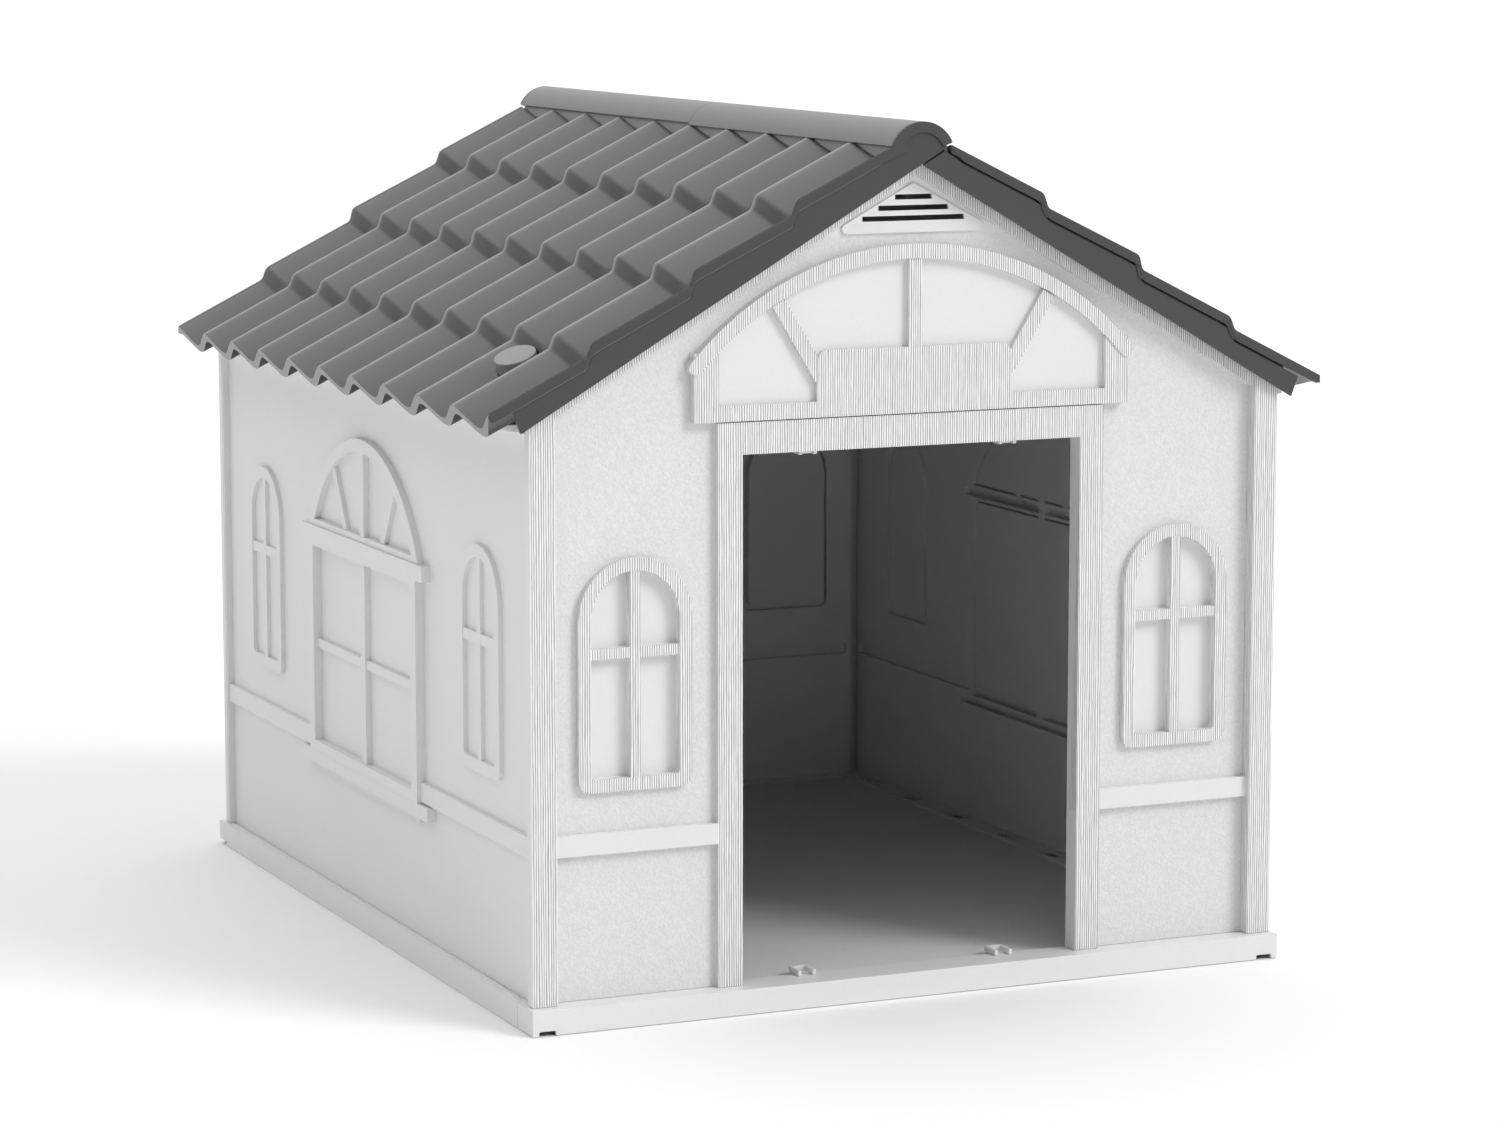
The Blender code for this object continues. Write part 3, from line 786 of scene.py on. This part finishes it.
    def tiles(self) -> bpy.types.Object:
        """The tiled sheet with its cut edges closed, and a seat for the lock knob."""
        top = self.skin("tiles_top", False)
        under = self.skin("tiles_under", True)
        sheet = Bench.join("tiles", [top, under])
        Bench.edit(sheet)
        bpy.ops.mesh.select_all(action="DESELECT")
        bpy.ops.mesh.select_mode(type="EDGE")
        bpy.ops.mesh.select_non_manifold(extend=False, use_wire=False, use_multi_face=False,
                                         use_non_contiguous=False, use_verts=False)
        bpy.ops.mesh.bridge_edge_loops()
        bpy.ops.mesh.select_all(action="SELECT")
        bpy.ops.mesh.normals_make_consistent(inside=False)
        bpy.ops.mesh.select_mode(type="VERT")
        Bench.done()
        radius, depth = self.knob_radius, self.seat_depth
        Bench.cut(sheet, [self.disc(radius + self.seat_gap, -depth, self.hole_high), self.stem_cutter()])
        boss = self.disc(radius + self.boss_wall, -self.boss_low, -depth - self.boss_gap)
        Bench.cut(boss, [self.stem_cutter()])
        # Paints a highlight along the crests into the tiles' colour.
        self.paint_crest_highlight(sheet)
        whole = Bench.join("tiles", [sheet, boss])
        self.dress(whole)
        Bench.smooth(whole, self.crease)
        return whole

    def stem_cutter(self) -> bpy.types.Object:
        """The hole that the knob's stem goes through."""
        return self.disc(self.stem_hole, -self.hole_low, self.hole_high)

    def disc(self, radius: float, low: float, high: float) -> bpy.types.Object:
        """A round block on the knob's axis, between two heights from the knob's top."""
        bpy.ops.object.select_all(action="DESELECT")
        bpy.ops.mesh.primitive_cylinder_add(vertices=64, radius=radius, depth=high - low)
        made = bpy.context.object
        made.data.transform(self.seat @ Matrix.Translation((0, 0, (low + high) / 2)))
        return made

    def dress(self, piece: bpy.types.Object) -> None:
        """Gives a roof piece its tile, cut-edge and fascia finishes, chosen face by face."""
        for finish in self.finishes:
            piece.data.materials.append(finish)
        eave = self.courses[-1][0] * MM
        for face in piece.data.polygons:
            x, y, _ = face.center
            if -x > eave - self.eave_slack and face.normal.x < -self.eave_facing:
                face.material_index = RoofFinish.CUT_EDGE
            elif abs(y) > self.verge - self.verge_slack and abs(face.normal.y) > self.verge_facing:
                face.material_index = RoofFinish.FASCIA

    def trim(self) -> list[bpy.types.Object]:
        """Ridge roll, its end rim, under-lip, verge bands and fascias."""
        middle, verge = (0.0, self.roll_z), self.verge
        outer, inner = self.roll_radius, self.roll_radius - self.roll_wall
        shell = arc(middle, outer, 23, 161, 46) + arc(middle, inner, 161, 23, 46)
        roll = Bench.plate("roll", shell, -verge + self.roll_ends[0], verge - sum(self.roll_ends),
                           self.roll_rounding)
        outer, inner = self.lip_radii
        curl = arc(middle, outer, 115, 199, 24) + arc(middle, inner, 199, 115, 24)
        lip = Bench.plate("under_lip", curl, -verge + self.lip_ends[0], 2 * verge - sum(self.lip_ends))
        ring = arc(middle, self.roll_radius, 24, 172, 48) + arc(middle, self.rim_bore, 172, 24, 40)
        rim = Bench.plate("roll_rim", ring, -verge - self.rim_proud, self.rim_thickness, self.rim_rounding)
        pieces = [roll, lip, rim, *self.fascia("front", -verge, 1.0), *self.fascia("rear", verge, -1.0)]
        for piece in pieces:
            for finish in self.finishes:
                piece.data.materials.append(finish)
            finish = RoofFinish.ROLL if piece in (roll, lip) else RoofFinish.FASCIA
            for face in piece.data.polygons:
                face.material_index = finish
            Bench.smooth(piece, self.crease)
        return pieces

    def fascia(self, name: str, face_y: float, inward: float) -> list[bpy.types.Object]:
        """The verge band under the tiles' end, the board below it with a groove between, and a web behind.

        Args:
            name: front or rear.
            face_y: The plane of the verge.
            inward: 1 if the kennel lies towards +Y from that plane, -1 if not.

        Returns:
            The board, the band and the web.
        """
        crest = [(-s, z) for s, z in self.course_line(False)]
        board_drop = self.groove + self.gap
        high = [(x, z - self.band_drop) for x, z in crest]
        low = [(x, z - self.groove) for x, z in crest[:-1]]
        low.append((crest[-1][0] + self.band_foot[0], crest[-1][1] - self.band_foot[1]))
        under_band = [(x, z - board_drop) for x, z in crest if -x < self.fascia_tip + self.fascia_past_tip]
        low_end = self.on_slope(-self.fascia_end)
        tip = (-self.fascia_tip, between(self.course_line(False), self.fascia_tip) - board_drop)
        if inward > 0:
            mitre = self.on_slope(self.mitres[0])
            closing = [mitre, *arc((0.0, self.roll_z), self.board_saddle, 28, 152, 28)]
            band_start, band_end = self.front_band_ends
        else:
            mitre = self.on_slope(self.mitres[1])
            closing = [mitre, (self.notch[0], self.on_slope(self.lap)[1] - self.notch[1])]
            band_start, band_end = self.rear_band_ends
        board = Bench.plate(f"fascia_{name}", closing + under_band[1:] + [tip, low_end],
                            face_y + inward * self.board_behind, inward * self.board_thickness,
                            self.board_rounding)
        band = Bench.plate(f"verge_band_{name}", [band_start, *high[1:], *low[::-1][:-1], band_end],
                           face_y - inward * self.band_proud, inward * self.band_thickness,
                           self.band_rounding)
        behind = [(x, z - self.web_drop) for x, z in crest if -x < self.web_end]
        behind += [(x, z + self.web_rise) for x, z in (low_end, mitre)]
        web = Bench.plate(f"fascia_web_{name}", behind, face_y + inward * self.web_behind,
                          inward * self.web_thickness)
        return [board, band, web]

    def on_slope(self, x: float) -> Point:
        """The point on the fascia's lower edge at a distance from the ridge, positive past the apex."""
        return x, self.fascia_apex + self.fascia_slope * x


@dataclass
class Locks:
    """The turning knobs on the roof and their washers below.

    A span is a pair of heights on the knob's axis, measured from the knob's top.
    """

    palette: Palette
    panel: RoofPanel
    head: Point = (-11.7 * MM, 0.0)
    head_rounding: float = 0.9 * MM
    stem: Point = (-24 * MM, -11 * MM)
    stem_radius: float = 5.6 * MM
    stem_rounding: float = 0.6 * MM
    washer: Point = (-22.4 * MM, -19.4 * MM)
    washer_radius: float = 12 * MM
    washer_bore: float = 5.9 * MM
    washer_rounding: float = 0.4 * MM
    bore: Point = (-30 * MM, -10 * MM)

    def build(self) -> None:
        """Makes the left knob and washer, and turns copies round for the right ones."""
        head = self.panel.disc(self.panel.knob_radius, *self.head)
        Bench.bevel(head, self.head_rounding, 3)
        stem = self.panel.disc(self.stem_radius, *self.stem)
        Bench.bevel(stem, self.stem_rounding)
        knob = Bench.join("lock_knob_left_turned", [head, stem])
        washer = self.panel.disc(self.washer_radius, *self.washer)
        Bench.cut(washer, [self.panel.disc(self.washer_bore, *self.bore)])
        Bench.bevel(washer, self.washer_rounding)
        washer.name = "lock_washer_left_turned"
        for piece, finish in ((knob, self.palette.cut_edge), (washer, self.palette.fascia)):
            piece.data.materials.append(self.palette.get(finish))
            Bench.smooth(piece)
        for piece, node, bodies in ((knob, "lock_knob", (Body.KNOB_LEFT, Body.KNOB_RIGHT)),
                                    (washer, "lock_washer", (Body.ROOF, Body.ROOF))):
            twin = Bench.copy(piece, piece.name.replace("left", "right"), HALF_TURN)
            for made, side, body in zip((piece, twin), ("left", "right"), bodies):
                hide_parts(f"{node}_{side}")
                handed(made, body)


# --- studio ------------------------------------------------------------------------------------


@dataclass
class Studio:
    """Pale floor, soft light and the camera."""

    eye: tuple[float, float, float] = (-1.6616, -3.8197, 0.9248)
    aim: tuple[float, float, float] = (0.0343, 0.0, 0.3203)
    lens: float = 106.8
    key_direction: tuple[float, float, float] = (0.86, -1.0, 0.9)
    key_power: float = 1.45
    key_softness: float = 28.0
    top_power: float = 1.7
    top_softness: float = 110.0
    surround: float = 0.22
    back_glow: float = 0.62
    back_direction: tuple[float, float, float] = (0.1, 0.95, 0.35)
    back_reach: float = 0.9
    floor_size: float = 120.0
    floor_gap: float = 0.4 * MM
    lamp_distance: float = 5.0
    sensor: float = 36.0
    farthest: float = 100.0

    def build(self) -> None:
        """Sets the floor, the lights and the camera."""
        bpy.ops.object.select_all(action="DESELECT")
        bpy.ops.mesh.primitive_plane_add(size=self.floor_size, location=(0.0, 0.0, -self.floor_gap))
        floor = bpy.context.object
        floor.name = "studio_floor"
        paint = PlasticFinish("studio_floor", (0.95, 0.95, 0.95), roughness=0.9, cells=(3, 3, 3),
                              relief=0.0, strength=0.0, shade_depth=0.0, patch_depth=0.0)
        floor.data.materials.append(paint.material())
        world = bpy.data.worlds.new("studio")
        world.use_nodes = True
        tree = world.node_tree
        sky = tree.nodes["Background"]
        sky.inputs["Color"].default_value = (1.0, 1.0, 1.0, 1.0)
        place = tree.nodes.new("ShaderNodeTexCoord")
        toward_back = tree.nodes.new("ShaderNodeVectorMath")
        toward_back.operation = "DOT_PRODUCT"
        toward_back.inputs[1].default_value = Vector(self.back_direction).normalized()
        tree.links.new(place.outputs["Generated"], toward_back.inputs[0])
        glow = tree.nodes.new("ShaderNodeMapRange")
        glow.interpolation_type = "SMOOTHSTEP"
        glow.inputs["From Min"].default_value = 0.0
        glow.inputs["From Max"].default_value = self.back_reach
        glow.inputs["To Min"].default_value = self.surround
        glow.inputs["To Max"].default_value = self.back_glow
        tree.links.new(toward_back.outputs["Value"], glow.inputs["Value"])
        tree.links.new(glow.outputs["Result"], sky.inputs["Strength"])
        bpy.context.scene.world = world
        self.lamp("key", Vector(self.key_direction), self.key_power, self.key_softness)
        self.lamp("overhead", Vector((0.0, 0.0, 1.0)), self.top_power, self.top_softness)
        bpy.context.scene.view_settings.view_transform = "Standard"
        bpy.ops.object.camera_add(location=self.eye)
        camera = bpy.context.object
        camera.data.lens = self.lens
        camera.data.sensor_width = self.sensor
        camera.data.clip_end = self.farthest
        camera.rotation_euler = (Vector(self.aim) - Vector(self.eye)).to_track_quat("-Z", "Y").to_euler()
        bpy.context.scene.camera = camera

    def lamp(self, name: str, toward: Vector, power: float, softness: float) -> None:
        """A broad, even light.

        Args:
            name: The lamp's name.
            toward: The direction that the light comes from.
            power: Its strength on a surface that faces it.
            softness: How wide it looks from the kennel, in degrees.
        """
        bpy.ops.object.light_add(type="SUN", location=toward.normalized() * self.lamp_distance)
        made = bpy.context.object
        made.name = name
        made.data.energy = power
        made.data.angle = math.radians(softness)
        made.rotation_euler = toward.to_track_quat("Z", "Y").to_euler()


def main() -> None:
    logging.basicConfig(level=logging.INFO, format="%(message)s")
    palette = Palette()
    panel = RoofPanel(palette)
    Base(palette).build()
    EndWalls(palette).build()
    SideWalls(palette).build()
    Vent(palette).build()
    panel.build()
    Locks(palette, panel).build()
    Studio().build()


if __name__ == "__main__":
    main()
